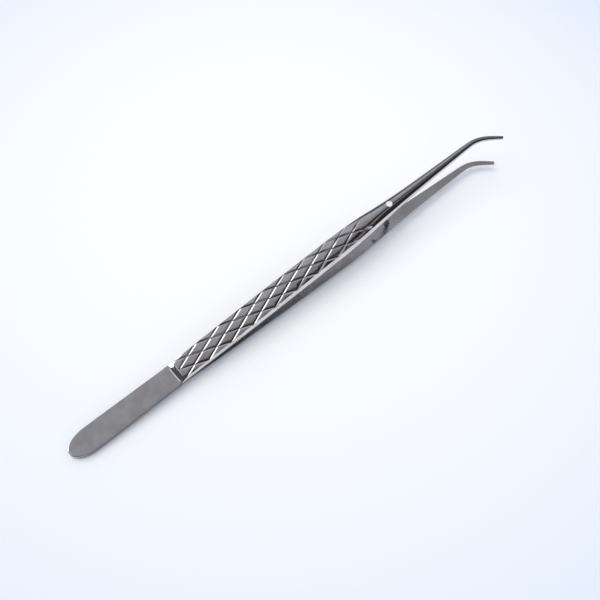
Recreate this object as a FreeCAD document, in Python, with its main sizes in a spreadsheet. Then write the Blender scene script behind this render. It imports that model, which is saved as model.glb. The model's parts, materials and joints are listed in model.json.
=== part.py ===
import FreeCAD, Part
import math
import os
import Sketcher
from FreeCAD import Placement, Rotation, Vector

# Curved thumb forceps: two forged steel arms joined flat at the rear plate, a guide pin
# riveted through the upper arm, and its hole in the lower arm.
# While the pieces are made, X runs from the rear end to the tips, Y is the width and Z the
# opening: the arms meet in the plane Z = 0 and spring apart from the weld's end.

os.makedirs("parts", exist_ok=True)
doc = FreeCAD.newDocument("thumb_forceps")
sheet = doc.addObject("Spreadsheet::Sheet", "Sizes")

SIZES = [
    # rear plate, where the two arms are welded face to face
    ("plate_length", 32.2),
    ("plate_width_rear", 6.9),
    ("plate_width_front", 6.5),
    ("plate_thickness", 0.85),
    ("nose_length", 5.0),
    ("nose_radius", 2.2),
    ("nose_flat", 1.4),
    ("plate_edge_round", 0.18),
    # shoulder that climbs from the plate to the grip
    ("shoulder_length", 1.6),
    ("shoulder_lead", 0.5),
    # spring of the arms: slope where they leave the weld, and radius of their inward bow
    ("spread_angle", 3.5),
    ("bow_radius", 5550.0),
    # flat land at the foot of each side, as a share of the side's height, and the side's draft
    ("land_share", 0.2),
    ("side_draft", 22.0),
    # sections along the arm: span from the section before, width at the inner face,
    # height of the side, and height of the crown above the side
    ("heel_width", 6.5),
    ("heel_side", 1.5),
    ("heel_crown", 0.15),
    ("rear_grip_span", 16.0),
    ("rear_grip_width", 6.96),
    ("rear_grip_side", 1.54),
    ("rear_grip_crown", 0.22),
    ("mid_grip_span", 16.0),
    ("mid_grip_width", 7.12),
    ("mid_grip_side", 1.58),
    ("mid_grip_crown", 0.33),
    ("fore_grip_span", 16.0),
    ("fore_grip_width", 7.14),
    ("fore_grip_side", 1.62),
    ("fore_grip_crown", 0.46),
    ("front_grip_span", 11.0),
    ("front_grip_width", 7.0),
    ("front_grip_side", 1.62),
    ("front_grip_crown", 0.62),
    ("collar_span", 8.5),
    ("collar_width", 5.85),
    ("collar_side", 1.45),
    ("collar_crown", 0.86),
    ("pin_span", 7.0),
    ("pin_width", 4.7),
    ("pin_side", 1.08),
    ("pin_crown", 0.88),
    ("waist_span", 7.0),
    ("waist_width", 3.78),
    ("waist_side", 0.78),
    ("waist_crown", 0.76),
    ("shank_span", 11.0),
    ("shank_width", 2.86),
    ("shank_side", 0.6),
    ("shank_crown", 0.58),
    ("neck_span", 14.3),
    ("neck_width", 1.9),
    ("neck_side", 0.44),
    ("neck_crown", 0.4),
    # bend of the tip, sideways in the plane of the arm
    ("bend_radius", 10.0),
    ("bend_angle", 40.0),
    ("bend_width", 1.6),
    ("bend_side", 0.38),
    ("bend_crown", 0.34),
    ("tip_length", 4.0),
    ("tip_width", 1.15),
    ("tip_side", 0.3),
    ("tip_crown", 0.26),
    # diamond pattern rolled into the grip's outer face
    ("groove_pitch", 7.52),
    ("groove_angle", 22.4),
    ("groove_width", 0.84),
    ("groove_depth", 0.22),
    ("groove_first", 0.1),
    ("groove_last", 66.0),
    # guide pin and the hole that it enters
    ("pin_diameter", 1.5),
    ("pin_head_diameter", 1.9),
    ("pin_head_depth", 0.5),
    ("pin_entry", 1.2),
    ("pin_end_round", 0.3),
    ("guide_clearance", 0.2),
    # depth of the spot worn flat where the belly lies on the table
    ("contact_wear", 0.1),
]
for row, (alias, value) in enumerate(SIZES, start=1):
    sheet.set(f"A{row}", alias)
    sheet.set(f"B{row}", str(value))
    sheet.setAlias(f"B{row}", alias)
doc.recompute()


def size(alias):
    """Reads one driving size from the sheet."""
    return float(sheet.get(alias))


def origin_plane(body, role):
    """Finds one of the body's own origin planes."""
    return next(item for item in body.Origin.OriginFeatures if item.Role == role)


def bind(sketch, index, name, formula):
    """Names a constraint and ties it to the sheet."""
    sketch.renameConstraint(index, name)
    sketch.setExpression(f"Constraints.{name}", formula)


# touching tolerance, the span past which a section is added halfway, and the shares of the bend
TOUCH = 0.01
LONG_SPAN = 12.0
BEND_SHARES = (0.25, 0.5, 0.75)
# share of the heel's width that lies well inside the outer panel, between the drafted sides
PANEL_SHARE = 0.8
# how many places along the belly are tried for the point that touches the table
PROBES = 15

SPANS = ["rear_grip", "mid_grip", "fore_grip", "front_grip", "collar", "pin", "waist", "shank", "neck"]
ROOT = "(Sizes.plate_length + Sizes.shoulder_length)"


def run_to(name):
    """Formula for how far a section lies past the end of the weld."""
    spans = [f"Sizes.{span}_span" for span in SPANS[:SPANS.index(name) + 1]]
    return "(" + " + ".join(spans) + ")"


def run_length(name):
    """The same distance as a number."""
    return sum(size(f"{span}_span") for span in SPANS[:SPANS.index(name) + 1])


def rise(run):
    """Formula for the height of the inner face above the joint plane."""
    return f"({run} * tan(Sizes.spread_angle * 1 deg) - {run} ^ 2 / (2 * Sizes.bow_radius))"


def rise_height(run):
    """The same height as a number."""
    return run * math.tan(math.radians(size("spread_angle"))) - run ** 2 / (2 * size("bow_radius"))


def section_sketch(body, name, side, crown, width, land, inset):
    """One cross-section of the arm: flat inner face, short lands, drafted sides, crowned back."""
    sketch = body.newObject("Sketcher::SketchObject", f"{name}_section")
    sketch.AttachmentSupport = [(origin_plane(body, "YZ_Plane"), "")]
    sketch.MapMode = "FlatFace"
    half = 2.0
    low = 0.3
    high = 1.0
    edge = 1.6
    top = 1.4
    corners = [Vector(-half, 0), Vector(half, 0), Vector(half, low), Vector(edge, high)]
    mirror = [Vector(-edge, high), Vector(-half, low)]
    sketch.addGeometry(Part.LineSegment(corners[0], corners[1]))
    sketch.addGeometry(Part.LineSegment(corners[1], corners[2]))
    sketch.addGeometry(Part.LineSegment(corners[2], corners[3]))
    sketch.addGeometry(Part.Arc(corners[3], Vector(0, top), mirror[0]))
    sketch.addGeometry(Part.LineSegment(mirror[0], mirror[1]))
    sketch.addGeometry(Part.LineSegment(mirror[1], corners[0]))
    joins = [(0, 2, 1, 1), (1, 2, 2, 1), (2, 2, 3, 1), (3, 2, 4, 1), (4, 2, 5, 1), (5, 2, 0, 1)]
    for first, end, second, start in joins:
        sketch.addConstraint(Sketcher.Constraint("Coincident", first, end, second, start))
    sketch.addConstraint(Sketcher.Constraint("Symmetric", 0, 1, 0, 2, -1, 1))
    sketch.addConstraint(Sketcher.Constraint("Horizontal", 0))
    sketch.addConstraint(Sketcher.Constraint("Vertical", 1))
    sketch.addConstraint(Sketcher.Constraint("Symmetric", 2, 2, 4, 1, -2))
    sketch.addConstraint(Sketcher.Constraint("Symmetric", 1, 2, 4, 2, -2))
    bind(sketch, sketch.addConstraint(Sketcher.Constraint("DistanceX", 0, 1, 0, 2, 2 * half)),
         "width", width)
    bind(sketch, sketch.addConstraint(Sketcher.Constraint("DistanceY", 1, 1, 1, 2, low)),
         "land", land)
    bind(sketch, sketch.addConstraint(Sketcher.Constraint("DistanceY", 0, 2, 2, 2, high)),
         "side", side)
    bind(sketch, sketch.addConstraint(Sketcher.Constraint("DistanceX", 2, 2, 1, 2, half - edge)),
         "inset", inset)
    flat = f"({width} / 2 - {inset})"
    radius = f"({flat} ^ 2 + {crown} ^ 2) / (2 * {crown})"
    arc = sketch.addConstraint(Sketcher.Constraint("Radius", 3, (edge ** 2 + 0.16) / 0.8))
    bind(sketch, arc, "crown_radius", radius)
    return sketch


def arm_section(body, name, place, toward=None, share=0.0):
    """A section named in the sheet, or a blend of two of them, set at its place along the arm."""
    def blend(what):
        own = f"Sizes.{name}_{what}"
        if toward is None:
            return own
        return f"({own} * {1 - share} + Sizes.{toward}_{what} * {share})"

    side = blend("side")
    land = f"({side} * Sizes.land_share)"
    inset = f"(({side} - {land}) * tan(Sizes.side_draft * 1 deg))"
    label = name if toward is None else f"{name}_to_{toward}"
    sketch = section_sketch(body, label, side, blend("crown"), blend("width"), land, inset)
    sketch.AttachmentOffset = Placement(Vector(0, 0, 0), Rotation(Vector(0, 1, 0), -1))
    for path, formula in place.items():
        sketch.setExpression(f"AttachmentOffset.{path}", formula)
    return sketch


def straight_place(run):
    return {"Base.x": "0", "Base.y": rise(run), "Base.z": f"{ROOT} + {run}", "Rotation.Angle": "0"}


def bend_place(turn, beyond):
    """Place on the tip's bend after a turn, and then straight on by a length."""
    neck = run_to("neck")
    angle = f"({turn} * 1 deg)"
    forward = f"(Sizes.bend_radius * sin({angle}) + {beyond} * cos({angle}))"
    sideways = f"(Sizes.bend_radius * (1 - cos({angle})) + {beyond} * sin({angle}))"
    run = f"({neck} + {forward})"
    return {"Base.x": f"-{sideways}", "Base.y": rise(run), "Base.z": f"{ROOT} + {run}",
            "Rotation.Angle": f"-{angle}"}


def plate_outline(body):
    """Plan of the rear plate: a blunt pointed nose, then sides that draw in towards the shoulder."""
    sketch = body.newObject("Sketcher::SketchObject", "plate_outline")
    sketch.AttachmentSupport = [(origin_plane(body, "XY_Plane"), "")]
    sketch.MapMode = "FlatFace"
    reach = size("plate_length")
    nose = size("nose_length")
    blunt = size("nose_radius")
    rear = size("plate_width_rear") / 2
    front = size("plate_width_front") / 2
    # flank arcs run from the full width to the blunt nose, meeting it along a common tangent
    flank = ((nose - blunt) ** 2 + rear ** 2 - blunt ** 2) / (2 * (rear - blunt))
    centre = Vector(nose, rear - flank)
    tip = Vector(blunt, 0)
    out = (tip - centre).normalize()
    touch = tip + out * blunt
    mid = (Vector(nose, rear) + touch) * 0.5
    bulge = centre + (mid - centre).normalize() * flank
    flip = lambda point: Vector(point.x, -point.y)
    sketch.addGeometry(Part.LineSegment(Vector(nose, rear), Vector(reach, front)))
    sketch.addGeometry(Part.LineSegment(Vector(reach, front), Vector(reach, -front)))
    sketch.addGeometry(Part.LineSegment(Vector(reach, -front), Vector(nose, -rear)))
    sketch.addGeometry(Part.Arc(flip(Vector(nose, rear)), flip(bulge), flip(touch)))
    sketch.addGeometry(Part.Arc(flip(touch), Vector(0, 0), touch))
    sketch.addGeometry(Part.Arc(touch, bulge, Vector(nose, rear)))
    # an arc's own start and end run anticlockwise, whichever way it was drawn
    arc_ends = {}
    for index in (3, 4, 5):
        arc_ends[index] = (sketch.getPoint(index, 1), sketch.getPoint(index, 2))

    def end_at(index, point):
        start, stop = arc_ends[index]
        return 1 if start.distanceToPoint(point) < stop.distanceToPoint(point) else 2

    low_corner = flip(Vector(nose, rear))
    sketch.addConstraint(Sketcher.Constraint("Coincident", 0, 2, 1, 1))
    sketch.addConstraint(Sketcher.Constraint("Coincident", 1, 2, 2, 1))
    sketch.addConstraint(Sketcher.Constraint("Coincident", 2, 2, 3, end_at(3, low_corner)))
    sketch.addConstraint(Sketcher.Constraint("Tangent", 3, end_at(3, flip(touch)), 4, end_at(4, flip(touch))))
    sketch.addConstraint(Sketcher.Constraint("Tangent", 4, end_at(4, touch), 5, end_at(5, touch)))
    sketch.addConstraint(Sketcher.Constraint("Coincident", 5, end_at(5, Vector(nose, rear)), 0, 1))
    sketch.addConstraint(Sketcher.Constraint("Symmetric", 1, 1, 1, 2, -1))
    sketch.addConstraint(Sketcher.Constraint("Symmetric", 0, 1, 2, 2, -1))
    sketch.addConstraint(Sketcher.Constraint("PointOnObject", 4, 3, -1))
    sketch.addConstraint(Sketcher.Constraint("Equal", 3, 5))
    bind(sketch, sketch.addConstraint(Sketcher.Constraint("DistanceX", -1, 1, 1, 1, reach)),
         "reach", "Sizes.plate_length")
    bind(sketch, sketch.addConstraint(Sketcher.Constraint("DistanceX", -1, 1, 0, 1, nose)),
         "nose", "Sizes.nose_length")
    bind(sketch, sketch.addConstraint(Sketcher.Constraint("DistanceY", 2, 2, 0, 1, 2 * rear)),
         "rear_width", "Sizes.plate_width_rear")
    bind(sketch, sketch.addConstraint(Sketcher.Constraint("DistanceY", 1, 2, 1, 1, 2 * front)),
         "front_width", "Sizes.plate_width_front")
    bind(sketch, sketch.addConstraint(Sketcher.Constraint("Radius", 4, blunt)),
         "nose_radius", "Sizes.nose_radius")
    bind(sketch, sketch.addConstraint(Sketcher.Constraint("DistanceX", -1, 1, 4, 3, blunt)),
         "nose_centre", "Sizes.nose_radius")
    return sketch


def arm_blank(name):
    """The forging that both arms start from, with no pattern and no hole."""
    body = doc.addObject("PartDesign::Body", name)
    plate = body.newObject("PartDesign::Pad", "plate")
    plate.Profile = plate_outline(body)
    plate.setExpression("Length", "Sizes.plate_thickness")
    doc.recompute()

    # shoulder: ruled from a low section inside the plate's end to the heel of the grip
    foot = section_sketch(body, "foot", "(Sizes.plate_thickness * 0.66)",
                          "(Sizes.plate_thickness * 0.04)", "Sizes.plate_width_front",
                          "(Sizes.plate_thickness * 0.5)", "0.02")
    foot.setExpression("AttachmentOffset.Base.z", "Sizes.plate_length - Sizes.shoulder_lead")
    heel = arm_section(body, "heel", straight_place("0"))
    shoulder = body.newObject("PartDesign::AdditiveLoft", "shoulder")
    shoulder.Profile = foot
    shoulder.Sections = [heel]
    shoulder.Ruled = True
    doc.recompute()

    # blade: one smooth loft from the heel through the grip and the shank, round to the tip,
    # with sections about a grip's width apart and closer round the bend
    start = arm_section(body, "heel", straight_place("0"))
    sections = []
    before = "heel"
    for span in SPANS:
        if size(f"{span}_span") > LONG_SPAN:
            behind = "0" if before == "heel" else run_to(before)
            half_way = straight_place(f"({behind} + Sizes.{span}_span / 2)")
            sections.append(arm_section(body, before, half_way, span, 0.5))
        sections.append(arm_section(body, span, straight_place(run_to(span))))
        before = span
    for share in BEND_SHARES:
        turned = bend_place(f"Sizes.bend_angle * {share}", "0")
        sections.append(arm_section(body, "neck", turned, "bend", share))
    sections.append(arm_section(body, "bend", bend_place("Sizes.bend_angle", "0")))
    half_tip = bend_place("Sizes.bend_angle", "Sizes.tip_length / 2")
    sections.append(arm_section(body, "bend", half_tip, "tip", 0.5))
    sections.append(arm_section(body, "tip", bend_place("Sizes.bend_angle", "Sizes.tip_length")))
    blade = body.newObject("PartDesign::AdditiveLoft", "blade")
    blade.Profile = start
    blade.Sections = sections
    doc.recompute()

    # very tip of the nose dressed flat
    dressed = body.newObject("PartDesign::SubtractiveBox", "nose_dressing")
    dressed.setExpression("Length", "Sizes.plate_thickness")
    dressed.setExpression("Width", "Sizes.plate_width_rear")
    dressed.setExpression("Height", "3 * Sizes.plate_thickness")
    flat_depth = "(Sizes.nose_radius - sqrt(Sizes.nose_radius ^ 2 - (Sizes.nose_flat / 2) ^ 2))"
    dressed.setExpression("Placement.Base.x", f"{flat_depth} - Sizes.plate_thickness")
    dressed.setExpression("Placement.Base.y", "-Sizes.plate_width_rear / 2")
    dressed.setExpression("Placement.Base.z", "-Sizes.plate_thickness")
    doc.recompute()

    # small round along the plate's outer rim
    top = size("plate_thickness")
    rim = body.newObject("PartDesign::Fillet", "plate_rim")
    rim.Base = (dressed, edges_at(dressed.Shape, lambda spot: spot.x < size("nose_length") - TOUCH
                                and abs(spot.z - top) < TOUCH))
    rim.setExpression("Radius", "Sizes.plate_edge_round")
    body.Tip = rim
    doc.recompute()
    return body


def edges_at(shape, test):
    """Names of the edges whose middle point passes a test."""
    names = []
    for index, edge in enumerate(shape.Edges, start=1):
        middle = edge.valueAt((edge.FirstParameter + edge.LastParameter) / 2)
        if test(middle):
            names.append(f"Edge{index}")
    return names


def surface_height(shape, x, y):
    """Height of the arm's outer face above a point of its plan."""
    probe = Part.makeLine(Vector(x, y, -1), Vector(x, y, 3 * rise_height(run_length("neck"))))
    return max(vertex.Z for vertex in probe.common(shape).Vertexes)


def groove_cutter(shape, x, hand):
    """A V-edged ring that follows the crowned back across the grip, along one pattern line."""
    angle = math.radians(size("groove_angle"))
    along = Vector(math.cos(angle), hand * math.sin(angle), 0)
    across = Vector(-along.y, along.x, 0)
    reach = size("fore_grip_width") / 2 / math.sin(angle)
    root = size("plate_length") + size("shoulder_length")
    low = max(-reach, (root + size("groove_first") - x) / along.x)
    high = min(reach, (root + size("groove_last") - x) / along.x)
    panel = PANEL_SHARE * size("heel_width") / 2 / math.sin(angle)
    near = max(low, -panel)
    far = min(high, panel)
    middle = (near + far) / 2
    points = []
    for step in (near, middle, far):
        flat = Vector(x, 0, 0) + along * step
        points.append(Vector(flat.x, flat.y, surface_height(shape, flat.x, flat.y)))
    circle = Part.Arc(*points).toShape().Curve
    centre = circle.Center
    outward = (points[1] - centre).normalize()
    depth = size("groove_depth")
    flare = size("groove_width") / 2 / depth
    over = 2 * depth
    lip = points[1] + outward * over
    side = across * (flare * (depth + over))
    bottom = points[1] - outward * depth
    profile = Part.Face(Part.makePolygon([bottom, lip + side, lip - side, bottom]))
    back = math.degrees((middle - low) / circle.Radius)
    forth = math.degrees((high - middle) / circle.Radius)
    turn = outward.cross(along)
    profile.rotate(centre, turn, -back)
    return profile.revolve(centre, turn, back + forth)


def diamond_lines(body, name, hand):
    """One family of the pattern's lines; the other family crosses them on the middle line."""
    root = size("plate_length") + size("shoulder_length")
    pitch = size("groove_pitch")
    slant = PANEL_SHARE * size("heel_width") / 2 / math.tan(math.radians(size("groove_angle")))
    first = math.ceil(-slant / pitch)
    last = math.floor((size("groove_last") - size("groove_first") + slant) / pitch)
    cutters = []
    for number in range(first, last + 1):
        x = root + size("groove_first") + number * pitch
        cutters.append(groove_cutter(body.Shape, x, hand))
    lines = doc.addObject("Part::Feature", name)
    lines.Shape = Part.makeCompound(cutters)
    return lines


def upright(kind, name, base):
    """A solid of revolution on the pin's axis, with its foot at a height given by a formula."""
    item = doc.addObject(kind, name)
    item.setExpression("Placement.Base.x", f"{ROOT} + {run_to('pin')}")
    item.setExpression("Placement.Base.z", base)
    return item


def joined(kind, name, pieces):
    """A boolean of several solids."""
    item = doc.addObject(kind, name)
    item.Shapes = pieces
    doc.recompute()
    return item


def cut_from(name, base, tool):
    """One solid less another."""
    item = doc.addObject("Part::Cut", name)
    item.Base = base
    item.Tool = tool
    doc.recompute()
    return item


# both arms start from the same patterned forging
blank = arm_blank("arm_blank")
once_lined = cut_from("once_lined", blank, diamond_lines(blank, "right_hand_lines", 1))
patterned = cut_from("patterned_arm", once_lined, diamond_lines(blank, "left_hand_lines", -1))

# guide pin: shank and chamfered end, and a wider head dressed flush with the arm's crown
pin_gap = rise(run_to("pin"))
pin_top = f"({pin_gap} + Sizes.pin_side + Sizes.pin_crown)"
pin_low = f"(-{pin_gap} - Sizes.pin_entry)"
shank = upright("Part::Cylinder", "pin_shank", f"{pin_low} + Sizes.pin_end_round")
shank.setExpression("Radius", "Sizes.pin_diameter / 2")
shank.setExpression("Height", f"{pin_top} - Sizes.pin_head_depth - {pin_low} - Sizes.pin_end_round")
end = upright("Part::Cone", "pin_end", pin_low)
end.setExpression("Radius1", "Sizes.pin_diameter / 2 - Sizes.pin_end_round")
end.setExpression("Radius2", "Sizes.pin_diameter / 2")
end.setExpression("Height", "Sizes.pin_end_round")
head_bar = upright("Part::Cylinder", "pin_head_bar", f"{pin_top} - Sizes.pin_head_depth")
head_bar.setExpression("Radius", "Sizes.pin_head_diameter / 2")
head_bar.setExpression("Height", "2 * Sizes.pin_head_depth")
head = joined("Part::MultiCommon", "pin_head", [head_bar, blank])
pin = joined("Part::MultiFuse", "whole_pin", [shank, end, head])

# upper arm carries the pin; the lower arm is its mirror image with a clearance hole
drilled = cut_from("drilled_arm", patterned, joined("Part::MultiFuse", "pin_seat", [shank, head_bar]))
hole = upright("Part::Cylinder", "guide_hole", "0")
hole.setExpression("Radius", "Sizes.pin_diameter / 2 + Sizes.guide_clearance")
hole.setExpression("Height", f"{pin_top} + Sizes.pin_head_depth")
bored = cut_from("bored_arm", patterned, hole)
mirrored = doc.addObject("Part::Mirroring", "mirrored_arm")
mirrored.Source = bored
mirrored.Base = Vector(0, 0, 0)
mirrored.Normal = Vector(0, 0, 1)
doc.recompute()

# at rest the forceps lies on the lower arm's back: the nose of its plate and the belly of its
# grip touch the table, so the whole is pitched about Y by the slope of the line between them,
# less what the belly's polished contact spot has lost
nose_line = size("nose_radius") - math.sqrt(size("nose_radius") ** 2 - (size("nose_flat") / 2) ** 2)
nose_line += size("plate_edge_round")
grip_front = size("plate_length") + size("shoulder_length") + run_length("front_grip")
belly_slope = 0.0
for step in range(PROBES + 1):
    x = grip_front + step * (run_length("pin") - run_length("front_grip")) / PROBES
    height = surface_height(blank.Shape, x, 0) - size("plate_thickness")
    if height / (x - nose_line) > belly_slope:
        belly_slope = height / (x - nose_line)
        belly_x = x
slope = belly_slope - size("contact_wear") / (belly_x - nose_line)
pitch = Rotation(Vector(0, 1, 0), -math.degrees(math.atan(slope)))
pieces = {"upper_arm": drilled, "lower_arm": mirrored, "guide_pin": pin}
resting = {}
for name, item in pieces.items():
    placed = doc.addObject("Part::Feature", f"{name}_at_rest")
    placed.Shape = item.Shape
    placed.Placement = Placement(Vector(0, 0, 0), pitch)
    resting[name] = placed
doc.recompute()

# origin: middle of the resting outline, on the table that the plate's nose lies on
bounds = FreeCAD.BoundBox()
for placed in resting.values():
    bounds.add(placed.Shape.optimalBoundingBox())
nose_low = pitch.multVec(Vector(nose_line, 0, -size("plate_thickness"))).z
shift = Vector(-bounds.Center.x, -bounds.Center.y, -nose_low)
for placed in resting.values():
    placed.Placement = Placement(shift, pitch)

# contact spot: what the belly would sink into the table is worn flat
under_table = doc.addObject("Part::Box", "under_table")
under_table.Length = size("plate_length")
under_table.Width = 2 * size("fore_grip_width")
under_table.Height = size("plate_thickness")
under_table.Placement.Base = Vector(0, -size("fore_grip_width"), -size("plate_thickness"))
resting["lower_arm"] = cut_from("worn_lower_arm", resting["lower_arm"], under_table)
for name, placed in resting.items():
    placed.Label = name
doc.recompute()

for item in doc.Objects:
    if "Invalid" in item.State or "Error" in item.State:
        raise RuntimeError(f"{item.Name} failed: {item.State}")
for name, placed in resting.items():
    if placed.Shape.isNull() or not placed.Shape.isValid():
        raise RuntimeError(f"{name} has no sound shape")
    placed.Shape.exportStep(f"parts/{name}.step")
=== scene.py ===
import json
import math
import bmesh
import bpy
from mathutils import Matrix, Vector
from mathutils.kdtree import KDTree

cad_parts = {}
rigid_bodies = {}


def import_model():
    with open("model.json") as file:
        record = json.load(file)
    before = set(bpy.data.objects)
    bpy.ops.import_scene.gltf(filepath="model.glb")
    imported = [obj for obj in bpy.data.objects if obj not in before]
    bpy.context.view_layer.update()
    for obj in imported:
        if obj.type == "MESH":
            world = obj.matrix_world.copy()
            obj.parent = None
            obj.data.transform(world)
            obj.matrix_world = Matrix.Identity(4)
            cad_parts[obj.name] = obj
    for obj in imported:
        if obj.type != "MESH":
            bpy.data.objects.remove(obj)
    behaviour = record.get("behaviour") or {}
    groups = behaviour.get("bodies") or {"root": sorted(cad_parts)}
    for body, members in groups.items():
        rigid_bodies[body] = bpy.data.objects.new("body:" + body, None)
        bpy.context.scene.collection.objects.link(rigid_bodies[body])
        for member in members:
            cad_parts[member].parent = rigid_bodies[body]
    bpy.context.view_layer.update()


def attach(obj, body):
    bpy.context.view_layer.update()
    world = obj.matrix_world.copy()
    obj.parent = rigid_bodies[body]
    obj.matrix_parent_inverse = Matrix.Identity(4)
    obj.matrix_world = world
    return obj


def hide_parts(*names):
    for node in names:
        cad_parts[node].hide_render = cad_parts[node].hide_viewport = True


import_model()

# Arms. Two steel forgings, ground lengthwise to a satin finish, welded face to face at the
# rear plate; from the weld's end they spring apart, and the tips are bent to one side.
# Lengths are in millimetres along the arm, and the joint plane is at height 0.
MM = 0.001
PLATE_END = 32.2
ROOT = 33.8
SPREAD = math.tan(math.radians(3.5))
BOW = 5550.0
DRAFT = math.tan(math.radians(22.0))
LAND = 0.2
LAND_AT_ROOT = 0.5
RIM = 0.45
SIDE_RIM = 0.14
RIM_END = 31.0
EDGE_FALL = 0.28
PLATE_THICK = 0.85
PITCH = math.asin(0.0504799)
REST_SHIFT = Vector((-75.3258, 0.8778, 0.8340))

# distance from the nose, half width of the plate at the inner face
NOSE = [(0.125, 0.70), (0.18, 0.84), (0.30, 1.09), (0.562, 1.48), (1.0, 1.95), (1.6, 2.41),
        (2.4, 2.82), (3.4, 3.14), (4.4, 3.33), (5.6, 3.43), (8.0, 3.45), (14.0, 3.41),
        (20.0, 3.36), (26.0, 3.31), (30.0, 3.27), (31.5, 3.26)]
# distance from the nose, lift of the hollow at the shoulder's foot and of its ramp
SHOULDER = [(31.75, 0.0), (32.0, 0.02), (32.25, 0.07), (32.5, 0.16), (32.72, 0.28), (33.4, 0.69),
            (33.62, 0.78)]
# distance from the nose, half width, height of the side, height of the crown
BLADE = [(33.8, 3.25, 1.50, 0.15), (34.6, 3.26, 1.50, 0.15), (38.0, 3.30, 1.51, 0.17),
         (42.0, 3.37, 1.52, 0.185), (49.8, 3.48, 1.54, 0.22), (57.8, 3.52, 1.56, 0.27),
         (65.8, 3.56, 1.58, 0.33), (73.8, 3.57, 1.60, 0.39), (81.8, 3.57, 1.62, 0.46),
         (87.4, 3.57, 1.63, 0.53), (92.8, 3.49, 1.62, 0.62), (97.0, 3.25, 1.56, 0.74),
         (101.3, 2.93, 1.45, 0.86), (104.8, 2.62, 1.28, 0.90), (108.3, 2.35, 1.08, 0.88),
         (111.8, 2.11, 0.92, 0.83), (115.3, 1.89, 0.78, 0.76), (120.8, 1.64, 0.68, 0.66),
         (126.3, 1.43, 0.60, 0.58), (133.5, 1.17, 0.51, 0.48), (140.6, 0.95, 0.44, 0.40)]
BEND_RADIUS = 10.0
BEND_TURN = 40.0
# share of the bend or length past it, half width, side, crown
BEND = [(0.25, 0.91, 0.425, 0.385), (0.5, 0.875, 0.41, 0.37), (0.75, 0.84, 0.395, 0.355),
        (1.0, 0.80, 0.38, 0.34)]
TIP = [(1.3, 0.74, 0.36, 0.32), (2.7, 0.66, 0.33, 0.29), (3.97, 0.585, 0.305, 0.265)]


def rise(x):
    """Height of the arm's inner face above the joint plane."""
    run = max(x - ROOT, 0.0)
    return run * SPREAD - run * run / (2 * BOW)


def land_at(x):
    """Share of the side that stands upright; it shrinks forwards from the shoulder."""
    past = min(max((x - ROOT) / 45.0, 0.0), 1.0)
    return LAND_AT_ROOT + (LAND - LAND_AT_ROOT) * past


def section(half, side, crown, land=LAND, draft=DRAFT, off=0.0):
    """Half outline of the arm's cross-section, from the inner face's middle round to the crest.

    The back falls away by off at its two edges.
    """
    foot = side * land
    edge = half - (side - foot) * draft
    points = [(0.0, 0.0), (half * 0.5, 0.0), (half, 0.0), (half, foot), (edge, side - off)]
    for share in (0.985, 0.955, 0.91, 0.84, 0.66, 0.34, 0.0):
        fall = off * max((share - 0.66) / 0.34, 0.0) ** 2
        points.append((edge * share, side + crown * (1 - share * share) - fall))
    return points


def ring(points, x, height, turn=0.0, sideways=0.0):
    """Whole outline of a section, set across the arm at its place and turn."""
    outline = points + [(-y, z) for y, z in reversed(points[1:-1])]
    c, s = math.cos(turn), math.sin(turn)
    return [Vector((x - y * s, sideways + y * c, height + z)) for y, z in outline]


def arm_rings():
    """All the cross-sections of one arm, from the nose of the plate to the end of the tip."""
    rings = []
    for x, half in NOSE:
        rings.append(ring(section(half, PLATE_THICK - 0.01, 0.01, 0.5, 0.0), x, 0.0))
    for x, lift in SHOULDER:
        share = (x - SHOULDER[0][0]) / (ROOT - SHOULDER[0][0])
        crown = 0.01 + 0.14 * share
        off = EDGE_FALL * min(lift / 0.3, 1.0)
        shape = section(3.255, PLATE_THICK + lift - crown, crown, LAND_AT_ROOT, DRAFT * share, off)
        rings.append(ring(shape, x, 0.0))
    for x, half, side, crown in BLADE:
        off = EDGE_FALL * max(1.0 - (x - ROOT) / 2.5, 0.0)
        rings.append(ring(section(half, side, crown, land_at(x), DRAFT, off), x, rise(x)))
    neck = BLADE[-1][0]
    for share, half, side, crown in BEND:
        turn = math.radians(BEND_TURN) * share
        x = neck + BEND_RADIUS * math.sin(turn)
        sideways = -BEND_RADIUS * (1 - math.cos(turn))
        rings.append(ring(section(half, side, crown), x, rise(x), -turn, sideways))
    turn = math.radians(BEND_TURN)
    for past, half, side, crown in TIP:
        x = neck + BEND_RADIUS * math.sin(turn) + past * math.cos(turn)
        sideways = -BEND_RADIUS * (1 - math.cos(turn)) - past * math.sin(turn)
        rings.append(ring(section(half, side, crown), x, rise(x), -turn, sideways))
    return rings


def extrude_through(name, rings):
    """A closed solid made by extruding the first outline on through all the others."""
    bpy.ops.object.select_all(action="DESELECT")
    count = len(rings[0])
    bpy.ops.mesh.primitive_circle_add(vertices=count, radius=1.0, fill_type="NGON")
    made = bpy.context.object
    made.name = made.data.name = name
    for vertex, spot in zip(made.data.vertices, rings[0]):
        vertex.co = spot * MM
    bpy.ops.object.mode_set(mode="EDIT")
    bpy.ops.mesh.select_mode(type="FACE")
    bpy.ops.mesh.select_all(action="SELECT")
    before = [spot * MM for spot in rings[0]]
    for outline in rings[1:]:
        bpy.ops.mesh.extrude_region_move()
        mesh = bmesh.from_edit_mesh(made.data)
        after = [spot * MM for spot in outline]
        for vertex in [v for v in mesh.verts if v.select]:
            nearest = min(range(count), key=lambda k: (before[k] - vertex.co).length_squared)
            vertex.co = after[nearest]
        bmesh.update_edit_mesh(made.data)
        before = after
    bpy.ops.mesh.select_all(action="SELECT")
    bpy.ops.mesh.normals_make_consistent(inside=False)
    if bmesh.from_edit_mesh(made.data).calc_volume(signed=True) < 0:
        bpy.ops.mesh.flip_normals()
    bpy.ops.object.mode_set(mode="OBJECT")
    return made


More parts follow.
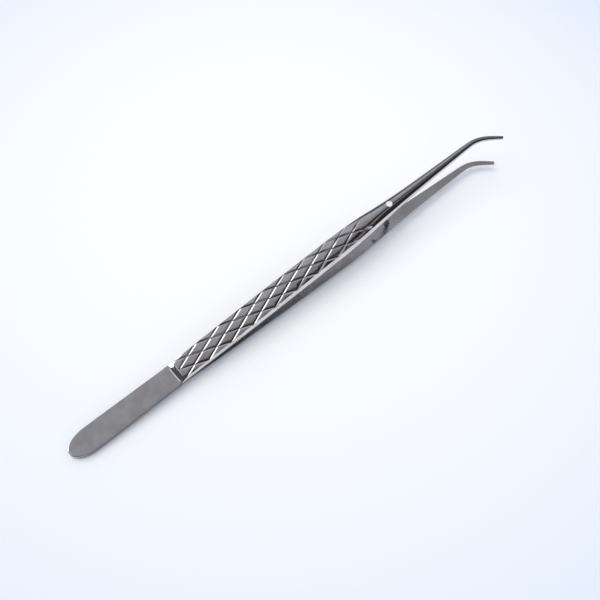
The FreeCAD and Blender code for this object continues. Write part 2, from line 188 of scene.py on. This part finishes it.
def apply(piece, kind, **settings):
    """Adds one modifier to a piece and applies it."""
    bpy.ops.object.select_all(action="DESELECT")
    piece.select_set(True)
    bpy.context.view_layer.objects.active = piece
    modifier = piece.modifiers.new(kind.lower(), kind)
    for key, value in settings.items():
        setattr(modifier, key, value)
    bpy.ops.object.modifier_apply(modifier=modifier.name)


def crease_edges(piece, rings):
    """Keeps the arm's long edges and its two ends sharp when it is subdivided."""
    count = len(rings[0])
    places = KDTree(count * len(rings))
    for number, outline in enumerate(rings):
        for index, spot in enumerate(outline):
            places.insert(spot * MM, number * count + index)
    places.balance()
    corners = (2, 3, 4, count - 4, count - 3, count - 2)
    heel = len(NOSE) + len(SHOULDER)
    creases = piece.data.attributes.new("crease_edge", "FLOAT", "EDGE")
    for edge in piece.data.edges:
        found = [places.find(piece.data.vertices[v].co)[1] for v in edge.vertices]
        (ring_a, index_a), (ring_b, index_b) = [divmod(number, count) for number in found]
        lengthwise = index_a == index_b and index_a in corners
        at_end = ring_a == ring_b and ring_a in (0, len(rings) - 1)
        if lengthwise or at_end:
            creases.data[edge.index].value = 1.0
        elif ring_a == ring_b == heel:
            creases.data[edge.index].value = 0.6


def dress_rim(piece):
    """Rounds the top edge of the plate, most of all round the nose."""
    foot = 0.4 * PLATE_THICK
    for vertex in piece.data.vertices:
        spot = vertex.co / MM
        if spot.x > RIM_END or spot.z < foot:
            continue
        for near, far in zip(NOSE, NOSE[1:]):
            if spot.x <= far[0]:
                break
        slope = (far[1] - near[1]) / (far[0] - near[0])
        gap = near[1] + (spot.x - near[0]) * slope - abs(spot.y)
        inset = min(gap / math.hypot(slope, 1.0), spot.x - NOSE[0][0])
        radius = SIDE_RIM + (RIM - SIDE_RIM) * max(1.0 - spot.x / 5.0, 0.0)
        short = min(max(radius - inset, 0.0), radius)
        drop = radius - math.sqrt(radius ** 2 - short ** 2)
        vertex.co.z = (foot + (spot.z - foot) * (1 - drop / (PLATE_THICK - foot))) * MM


rings = arm_rings()
forging = extrude_through("forging", rings)
crease_edges(forging, rings)
apply(forging, "SUBSURF", levels=2, render_levels=2)
apply(forging, "BEVEL", width=0.07 * MM, segments=3, limit_method="ANGLE",
      angle_limit=math.radians(20))
dress_rim(forging)

# Diamond pattern. Two families of V-shaped lines rolled into the crowned back of the grip;
# they cross on its middle line and run out over the drafted sides.
GROOVE_PITCH = 7.52
GROOVE_ANGLE = math.radians(22.4)
GROOVE_HALF = 0.42
GROOVE_DEPTH = 0.22
# half outline of the cutter, which rounds the line's shoulders: share of the half width, height
GROOVE_FORM = [(0.72, -0.06), (0.98, -0.022), (1.35, -0.006), (1.75, 0.012), (2.1, 0.3)]
GROOVE_COUNT = 9
GRIP_HALF = 3.57
FIRST_CROSSING = ROOT + 0.1
LAST_X = ROOT + 66.0


def back(x, y):
    """Height and sideways slope of the arm's crowned back, carried on past its panel's edges."""
    for near, far in zip(BLADE, BLADE[1:]):
        if x <= far[0]:
            break
    share = max((x - near[0]) / (far[0] - near[0]), 0.0)
    half, side, crown = [near[k] + (far[k] - near[k]) * share for k in (1, 2, 3)]
    edge = half - side * (1 - land_at(x)) * DRAFT
    return rise(x) + side + crown * (1 - (y / edge) ** 2), -2 * crown * y / edge ** 2


def groove_rings(x, hand):
    """Outlines of the cutter for one line, set every half millimetre along the back."""
    along = Vector((math.cos(GROOVE_ANGLE), hand * math.sin(GROOVE_ANGLE), 0))
    across = Vector((-along.y, along.x, 0))
    reach = GRIP_HALF / math.sin(GROOVE_ANGLE)
    low = max(-reach, (FIRST_CROSSING - x) / along.x)
    high = min(reach, (LAST_X - x) / along.x)
    steps = max(int((high - low) / 0.5), 2)
    outlines = []
    for step in range(steps + 1):
        spot = Vector((x, 0, 0)) + along * (low + (high - low) * step / steps)
        spot.z, slope = back(spot.x, spot.y)
        normal = Vector((0, -slope, 1)).normalized()
        level = (across + Vector((0, 0, slope * across.y))).normalized()
        left = [spot + level * out * GROOVE_HALF + normal * up for out, up in GROOVE_FORM]
        right = [spot - level * out * GROOVE_HALF + normal * up for out, up in GROOVE_FORM]
        outlines.append([spot - normal * GROOVE_DEPTH] + left + right[::-1])
    return outlines


for hand in (1, -1):
    lines = []
    for number in range(GROOVE_COUNT):
        x = FIRST_CROSSING + GROOVE_PITCH * number
        lines.append(extrude_through("line", groove_rings(x, hand)))
    bpy.ops.object.select_all(action="DESELECT")
    for line in lines:
        line.select_set(True)
    bpy.context.view_layer.objects.active = lines[0]
    bpy.ops.object.join()
    apply(forging, "BOOLEAN", operation="DIFFERENCE", object=lines[0], solver="EXACT")
    bpy.data.objects.remove(lines[0])


# Guide pin. A polished steel pin riveted in the upper arm; its head is dressed flush with the
# crown, leaning back a little, and its free end runs in a clearance hole through the lower arm.
PIN_X = 108.3
PIN_RADIUS = 0.75
HEAD_RADIUS = 0.95
HOLE_RADIUS = 0.95
HEAD_LEAN = math.radians(8.0)
# how far the head's top curves down towards its sides, per metre squared
HEAD_CURVE = 120.0
HEAD_GAP = 0.015
PIN_ENTRY = 1.2
PIN_LOW = -rise(PIN_X) - PIN_ENTRY
PIN_TOP = back(PIN_X, 0.0)[0]


def drill(name, radius, low, high):
    """A bar on the pin's axis, to be used as a cutter or shaped into the pin."""
    bpy.ops.object.select_all(action="DESELECT")
    middle = (PIN_X * MM, 0, (low + high) / 2 * MM)
    bpy.ops.mesh.primitive_cylinder_add(vertices=64, radius=radius * MM, depth=(high - low) * MM,
                                        location=middle)
    bar = bpy.context.object
    bar.name = bar.data.name = name
    bpy.ops.object.transform_apply(location=True, rotation=True, scale=True)
    return bar


def cut_away(piece, cutter):
    """Cuts one piece out of another and clears the cutter away."""
    apply(piece, "BOOLEAN", operation="DIFFERENCE", object=cutter, solver="EXACT")
    bpy.data.objects.remove(cutter)


pin = drill("pin_shank", PIN_RADIUS, PIN_LOW, PIN_TOP - 0.4)
apply(pin, "BEVEL", width=0.28 * MM, segments=4, limit_method="ANGLE", angle_limit=math.radians(60))
head = drill("pin_head", HEAD_RADIUS - HEAD_GAP, PIN_TOP - 0.6, PIN_TOP - 0.02)
for vertex in head.data.vertices:
    if vertex.co.z > (PIN_TOP - 0.3) * MM:
        lean_up = (vertex.co.x - PIN_X * MM) * math.tan(HEAD_LEAN)
        vertex.co.z += lean_up - HEAD_CURVE * vertex.co.y ** 2
apply(head, "BEVEL", width=0.06 * MM, segments=3, limit_method="ANGLE", angle_limit=math.radians(40))
bpy.ops.object.select_all(action="DESELECT")
head.select_set(True)
pin.select_set(True)
bpy.context.view_layer.objects.active = pin
bpy.ops.object.join()

# the lower arm is the same forging turned over, with the hole in place of the pin
bpy.ops.object.select_all(action="DESELECT")
forging.select_set(True)
bpy.context.view_layer.objects.active = forging
bpy.ops.object.duplicate()
turned = bpy.context.object
cut_away(turned, drill("hole", HOLE_RADIUS, -1.0, PIN_TOP + 1.0))
cut_away(forging, drill("seat", HEAD_RADIUS, PIN_TOP - 0.61, PIN_TOP + 1.0))
for piece in (forging, turned):
    # the finest slivers along the cut lines are merged, and only what the tip belongs to is kept
    bpy.ops.object.select_all(action="DESELECT")
    piece.select_set(True)
    bpy.context.view_layer.objects.active = piece
    bpy.ops.object.mode_set(mode="EDIT")
    bpy.ops.mesh.select_all(action="SELECT")
    bpy.ops.mesh.remove_doubles(threshold=0.002 * MM)
    bpy.ops.mesh.dissolve_degenerate(threshold=0.001 * MM)
    bpy.ops.mesh.select_mode(type="VERT")
    bpy.ops.mesh.select_all(action="DESELECT")
    bpy.ops.object.mode_set(mode="OBJECT")
    tip = max(piece.data.vertices, key=lambda vertex: vertex.co.x)
    tip.select = True
    bpy.ops.object.mode_set(mode="EDIT")
    bpy.ops.mesh.select_linked()
    bpy.ops.mesh.select_all(action="INVERT")
    bpy.ops.mesh.delete(type="VERT")
    bpy.ops.object.mode_set(mode="OBJECT")
turned.data.transform(Matrix.Diagonal((1, 1, -1, 1)))
turned.data.flip_normals()

at_rest = Matrix.Translation(REST_SHIFT * MM) @ Matrix.Rotation(-PITCH, 4, "Y")
for piece, name, node in ((forging, "upper_arm_steel", "upper_arm"),
                          (turned, "lower_arm_steel", "lower_arm"),
                          (pin, "guide_pin_steel", "guide_pin")):
    piece.name = piece.data.name = name
    piece.data.transform(at_rest)
    bpy.ops.object.select_all(action="DESELECT")
    piece.select_set(True)
    bpy.context.view_layer.objects.active = piece
    if piece is turned:
        # the flat that the lower arm has worn where it lies on the table
        bpy.ops.object.mode_set(mode="EDIT")
        bpy.ops.mesh.select_all(action="SELECT")
        bpy.ops.mesh.bisect(plane_co=(0, 0, 0), plane_no=(0, 0, 1), use_fill=True, clear_inner=True,
                            threshold=1.0e-7)
        bpy.ops.object.mode_set(mode="OBJECT")
    bpy.ops.object.shade_smooth_by_angle(angle=math.radians(30))
    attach(piece, "root")
    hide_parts(node)


# Finish of the steel: satin from lengthwise grinding, with fine scratches and soft mottling in its sheen;
# painted shade darkens the upright sides, the arms' inner faces and a spot by the guide hole, and the pin
# is brighter, its riveted end pale and matt, as a painted highlight.
class Wire:
    """A shader socket that can be used in sums."""

    tree = None

    def __init__(self, socket):
        self.socket = socket

    @classmethod
    def node(cls, kind, settings=None, output=0, **values):
        """Adds a node: its settings first, then the values or wires of its sockets."""
        made = cls.tree.nodes.new(kind)
        for key, value in (settings or {}).items():
            if key == "stops":
                ramp = made.color_ramp
                while len(ramp.elements) < len(value):
                    ramp.elements.new(1.0)
                for element, (place, colour) in zip(ramp.elements, value):
                    element.position = place
                    element.color = (*colour, 1.0)
            else:
                setattr(made, key, value)
        for key, value in values.items():
            name = key.replace("_", " ")
            numbered = key[0] == "i" and key[1:].isdigit()
            socket = made.inputs[int(key[1:]) if numbered else name]
            if isinstance(value, Wire):
                cls.tree.links.new(value.socket, socket)
            else:
                socket.default_value = value
        return cls(made.outputs[output]) if made.outputs else None

    def maths(self, operation, other=0.0, third=0.0):
        return Wire.node("ShaderNodeMath", {"operation": operation}, i0=self, i1=other, i2=third)

    def __add__(self, other):
        return self.maths("ADD", other)

    def __mul__(self, other):
        return self.maths("MULTIPLY", other)

    def __sub__(self, other):
        return self.maths("SUBTRACT", other)

    def __rsub__(self, other):
        return Wire.node("ShaderNodeMath", {"operation": "SUBTRACT"}, i0=other, i1=self)

    __radd__ = __add__
    __rmul__ = __mul__


def fade(value, low, high):
    """0 below one value and 1 above the other, eased between them."""
    return Wire.node("ShaderNodeMapRange", {"interpolation_type": "SMOOTHSTEP"},
                     i0=value, i1=low, i2=high)


def patch(way, centre, inner, outer):
    """1 round a direction and 0 away from it; the sizes are half angles in degrees."""
    towards = Vector(centre).normalized()
    facing = Wire.node("ShaderNodeVectorMath", {"operation": "DOT_PRODUCT"}, output=1,
                       i0=way, i1=towards)
    return fade(facing, math.cos(math.radians(outer)), math.cos(math.radians(inner)))


def blend(first, second, share):
    """Passes from one level or colour to another."""
    return Wire.node("ShaderNodeMix", {"data_type": "RGBA"}, output=2, i0=share, i6=first, i7=second)


def steel(name, colour, dull, roughness, grain, painted_glint=0.0):
    """Ground steel whose scratches run along the object; upright edges are left duller, with painted
    shade darkening them and the inner faces.
    """
    material = bpy.data.materials.new(name)
    material.use_nodes = True
    Wire.tree = material.node_tree
    Wire.tree.nodes.clear()
    place = Wire.node("ShaderNodeTexCoord", output=3)
    facing = Wire.node("ShaderNodeSeparateXYZ", output=2, i0=Wire.node("ShaderNodeTexCoord", output=1))
    spot = Wire.node("ShaderNodeSeparateXYZ", i0=place).socket.node.outputs
    # height over the joint plane: it tells the upper arm from the lower one
    over = Wire(spot["Z"]) - Wire(spot["X"]) * 0.0505 - 0.00464
    # painted shade on the arms' inner faces, which face each other across the gap; they are also made
    # rougher
    inner = fade(facing * over * -1000.0, 0.0, 0.15)
    on_upper = fade(over, -0.0001, 0.0001)
    # painted shade on the upright sides, stronger on the upper arm; they are also made rougher
    upright_painted_shade = (1.0 - fade(facing.maths("ABSOLUTE"), 0.10, 0.30)) * (on_upper * 0.6 + 0.4)
    along = Wire.node("ShaderNodeMapping", {"vector_type": "POINT"}, Vector=place,
                      Scale=(60.0, 5200.0, 5200.0))
    scratch = Wire.node("ShaderNodeTexNoise", i0=along, Scale=1.0, Detail=3.0, Roughness=0.6)
    cloud = Wire.node("ShaderNodeTexNoise", i0=place, Scale=210.0, Detail=3.0, Roughness=0.55)
    tint = blend((*colour, 1.0), (*dull, 1.0), fade(cloud, 0.40, 0.68))
    # a small painted dark spot on the lower arm's inner face, by the guide hole: painted shade from the
    # guide pin
    offset = Wire.node("ShaderNodeVectorMath", {"operation": "DISTANCE"}, output=1, i0=place,
                       i1=(0.02593, -0.00132, 0.00223))
    pin_shade_spot = 1.0 - fade(offset + cloud * 0.0006, 0.0005, 0.0012)
    shade = (1.0 - upright_painted_shade * 0.88) * (1.0 - pin_shade_spot * 0.7) * (1.06 - scratch * 0.12) * (1.0 - inner * 0.16)
    base = Wire.node("ShaderNodeVectorMath", {"operation": "SCALE"}, i0=tint, Scale=shade)
    sheen = (scratch - 0.5) * 0.05 + (cloud - 0.5) * 0.06 + roughness + upright_painted_shade * 0.15 + inner * 0.2
    bump = Wire.node("ShaderNodeBump", Strength=grain, Distance=0.00001, Height=scratch)
    # the pin's riveted end is made matt and pale as a painted highlight
    painted_glint_mask = fade(facing, 0.85, 0.97) * painted_glint
    surface = Wire.node("ShaderNodeBsdfPrincipled", Base_Color=base, Metallic=1.0 - painted_glint_mask,
                        Roughness=sheen + painted_glint_mask * 0.4, Normal=bump)
    Wire.node("ShaderNodeOutputMaterial", Surface=surface)
    return material


satin = steel("satin_steel", (0.66, 0.65, 0.675), (0.59, 0.56, 0.565), 0.075, 0.08)
# the pin's paler steel and its pale matt end are a painted highlight
pin_steel_painted_glint = steel("pin_steel", (0.93, 0.93, 0.93), (0.86, 0.86, 0.87), 0.12, 0.04, 0.8)
for piece in (forging, turned):
    piece.data.materials.clear()
    piece.data.materials.append(satin)
pin.data.materials.clear()
pin.data.materials.append(pin_steel_painted_glint)

# Table. A pale sheet under the forceps, with painted shade that darkens it and turns it bluer away from a
# point near the forceps.
bpy.ops.object.select_all(action="DESELECT")
bpy.ops.mesh.primitive_plane_add(size=4.0, location=(0, 0, -0.00005))
table = bpy.context.object
table.name = "table"
sheet = bpy.data.materials.new("table_white")
sheet.use_nodes = True
Wire.tree = sheet.node_tree
Wire.tree.nodes.clear()
# painted shade: the sheet grows darker and bluer with distance from a point near the forceps, standing in
# for the light's falloff
spread = Wire.node("ShaderNodeVectorMath", {"operation": "DISTANCE"}, output=1,
                   i0=Wire.node("ShaderNodeTexCoord", output=3), i1=(0.015, 0.038, 0.0))
painted_falloff = (spread * (1.0 / 0.15)).maths("POWER", 2.2).maths("MINIMUM", 1.6)
paper = Wire.node("ShaderNodeBsdfDiffuse",
                  Color=blend((0.957, 0.963, 0.985, 1.0), (0.755, 0.81, 0.92, 1.0), painted_falloff))
Wire.node("ShaderNodeOutputMaterial", Surface=paper)
table.data.materials.append(sheet)

# Light. A soft lamp from the upper left, and a room whose dark and pale bands show in the steel.
bpy.ops.object.light_add(type="SUN", location=(0, 0, 1))
lamp = bpy.context.object
lamp.data.energy = 1.5
lamp.data.angle = math.radians(56)
lamp.data.color = (1.0, 0.88, 0.74)
lamp.rotation_mode = "QUATERNION"
lamp.rotation_quaternion = Vector((-0.3, 0.32, 1.0)).to_track_quat("Z", "Y")
lamp.visible_glossy = False

room = bpy.data.worlds.new("room")
bpy.context.scene.world = room
room.use_nodes = True
Wire.tree = room.node_tree
Wire.tree.nodes.clear()
way = Wire.node("ShaderNodeTexCoord", output=0)
split = Wire.node("ShaderNodeSeparateXYZ", i0=way).socket.node.outputs
across_way, up_way = Wire(split["Y"]), Wire(split["Z"])
lean = across_way.maths("ARCTAN2", up_way) * (0.5 / math.pi) + 0.5
# stops by lean from straight up, towards +Y above 0 and towards -Y below it
bands = [(-90, (0.80, 0.80, 0.82)), (-64, (0.62, 0.62, 0.64)), (-57, (0.04, 0.04, 0.04)),
         (-42, (0.02, 0.02, 0.02)), (-25, (0.03, 0.025, 0.025)), (-21, (0.23, 0.20, 0.195)),
         (-14, (0.27, 0.23, 0.225)), (-10, (0.02, 0.018, 0.018)), (-1, (0.02, 0.018, 0.018)),
         (4, (0.27, 0.25, 0.255)), (14, (0.33, 0.32, 0.33)), (23, (0.385, 0.39, 0.41)),
         (40, (0.47, 0.49, 0.54)), (60, (0.56, 0.58, 0.64)), (90, (0.8, 0.82, 0.88))]
stops = [((angle / 360.0) + 0.5, level) for angle, level in bands]
shown = Wire.node("ShaderNodeValToRGB", {"stops": stops}, Fac=lean)
# a dark corner of the room ahead and to the left, and a dark wall behind
shown = blend(shown, (0.11, 0.115, 0.13, 1.0), patch(way, (0.60, 0.79, 0.05), 20, 26))
shown = blend(shown, (0.07, 0.07, 0.08, 1.0), patch(way, (0.70, 0.52, 0.46), 10, 15))
shown = blend(shown, (0.10, 0.11, 0.125, 1.0), patch(way, (-0.76, 0.36, 0.54), 21, 26))
# bright windows low on the left, and a skylight behind
shown = blend(shown, (2.6, 2.65, 2.8, 1.0), patch(way, (-0.31, 0.92, 0.30), 19, 26))
shown = blend(shown, (8.0, 8.2, 8.6, 1.0), patch(way, (-0.64, 0.70, 0.34), 11, 15))
shown = blend(shown, (0.85, 0.95, 1.12, 1.0), patch(way, (-0.37, 0.375, 0.85), 6, 11))
rays = Wire.node("ShaderNodeLightPath")
outputs = rays.socket.node.outputs
camera_ray, glossy_ray = Wire(outputs["Is Camera Ray"]), Wire(outputs["Is Glossy Ray"])
soft = blend((0.60, 0.665, 0.74, 1.0), shown, glossy_ray)
seen = blend(soft, (0.925, 0.955, 0.995, 1.0), camera_ray)
glow = Wire.node("ShaderNodeBackground", Color=seen, Strength=1.0)
Wire.node("ShaderNodeOutputWorld", Surface=glow)

# Camera, at the photograph's angle.
bpy.ops.object.camera_add(location=(-0.067843, -0.075582, 0.174761))
camera = bpy.context.object
camera.rotation_euler = [math.radians(a) for a in (29.4383, -0.7083, -40.209)]
camera.data.sensor_width = 36.0
camera.data.lens = 42.82
camera.data.clip_start = 0.01
bpy.context.scene.camera = camera
bpy.context.scene.view_settings.view_transform = "Standard"
